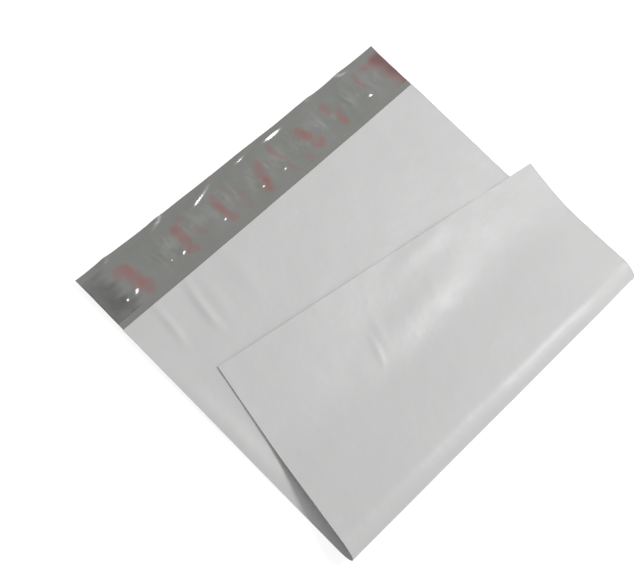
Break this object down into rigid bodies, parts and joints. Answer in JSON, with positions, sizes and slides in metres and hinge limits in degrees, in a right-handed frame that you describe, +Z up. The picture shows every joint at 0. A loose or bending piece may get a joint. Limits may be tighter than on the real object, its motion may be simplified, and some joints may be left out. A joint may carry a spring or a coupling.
{
  "type": "poly mailer",
  "caption": "White film mailing bag with a grey-lined adhesive lip and a release liner, its sealed end rolled softly back over the front panel.",
  "frame": {"origin": "centre of the lowest plane of the part's box, on the surface that it lies on", "axes": "+X across the mailer's width, towards the side where the folded end stands out; +Y along its length, from the fold to the lip; +Z up"},
  "size_m": [0.2682, 0.23, 0.0117],
  "materials": {
    "white_film": "white polyethylene film with a soft satin sheen outside and mid grey inside",
    "clear_adhesive": "clear hot-melt adhesive over grey film",
    "grey_liner": "thin glossy liner with muted red bars, grey where the lip shows through it"
  },
  "bodies": {
    "root": {"mailer_film": "white_film", "adhesive_strip": "clear_adhesive", "release_liner": "grey_liner"}
  },
  "joints": []
}
